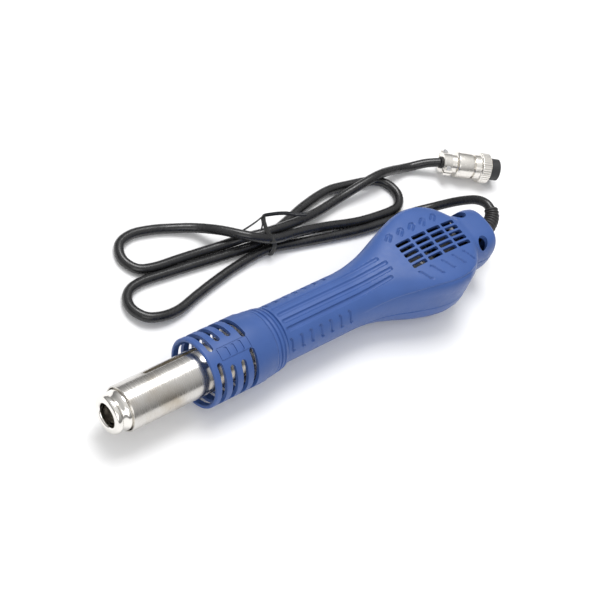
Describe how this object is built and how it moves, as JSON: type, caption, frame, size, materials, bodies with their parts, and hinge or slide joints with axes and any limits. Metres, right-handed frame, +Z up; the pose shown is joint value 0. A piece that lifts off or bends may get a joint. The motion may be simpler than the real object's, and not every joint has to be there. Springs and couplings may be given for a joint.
{
  "type": "hot air station",
  "caption": "Hot air rework handpiece: steel nozzle tube in a slotted guard, round-headed handle with a fan, and a tied cord ending in a round screw-ring plug.",
  "frame": {"origin": "centre of the bottom of the handpiece box, on the surface it lies on", "axes": "+X along the nozzle, in the direction the air leaves; +Y to the left of the handpiece seen from its tail; +Z up, through the intake grille"},
  "size_m": [0.2923, 0.1151, 0.0375],
  "materials": {
    "shell_blue": "satin moulded",
    "guard_blue": "satin moulded",
    "socket_black": "matt heat resistant",
    "tube_steel": "polished",
    "collar_nickel": "plated",
    "screw_steel": "plain",
    "mica": "rolled sheet",
    "ceramic_white": "unglazed",
    "coil_wire": "oxidised",
    "fan_black": "matt",
    "impeller_grey": "matt",
    "magnet": "sintered",
    "stator": "enamelled copper",
    "bearing_brass": "plain",
    "board": "solder mask",
    "foam": "foam",
    "reed_glass": "clear",
    "terminal": "matt",
    "lead_red": "silicone",
    "lead_yellow": "silicone",
    "cord_black": "matt silicone",
    "relief_black": "matt",
    "tie_black": "plastic coated wire",
    "plug_nickel": "satin nickel plate",
    "insert_black": "moulded"
  },
  "bodies": {
    "handpiece": {"upper_shell": "shell_blue", "lower_shell": "shell_blue", "front_guard": "guard_blue", "front_socket": "socket_black", "heater_tube": "tube_steel", "tip_collar": "collar_nickel", "tube_screws": "screw_steel", "mica_sleeve": "mica", "heater_former": "ceramic_white", "heater_coil": "coil_wire", "heater_base": "ceramic_white", "thermocouple": "screw_steel", "blower_housing": "fan_black", "blower_cover": "fan_black", "fan_stator": "stator", "fan_bearings": "bearing_brass", "fan_board": "board", "blower_screws": "screw_steel", "outlet_gasket": "foam", "sensor_board": "board", "reed_switch": "reed_glass", "terminal_block": "terminal", "board_screws": "screw_steel", "cord_clamp": "screw_steel", "clamp_screws": "screw_steel", "shell_screws": "screw_steel", "heater_leads": "lead_red", "fan_leads": "lead_red", "cord_leads": "lead_yellow", "cord_end": "cord_black", "strain_relief": "relief_black", "cord": "cord_black", "cord_tie": "tie_black", "plug_sleeve": "relief_black", "plug_shell": "plug_nickel", "plug_saddle": "plug_nickel", "plug_screws": "screw_steel", "plug_insert": "insert_black", "plug_contacts": "bearing_brass"},
    "fan_rotor": {"impeller": "impeller_grey", "fan_magnet": "magnet", "fan_shaft": "screw_steel"},
    "coupling_ring": {"plug_ring": "plug_nickel"}
  },
  "joints": [
    {"name": "fan_spin", "type": "hinge", "parent": "handpiece", "child": "fan_rotor", "pos_m": [-0.07545, 0, 0.0172], "axis": [0, 0, 1], "continuous": true},
    {"name": "ring_turn", "type": "hinge", "parent": "handpiece", "child": "coupling_ring", "pos_m": [-0.16505, -0.04022, 0.0083], "axis": [-0.848, 0.5299, 0], "continuous": true}
  ]
}
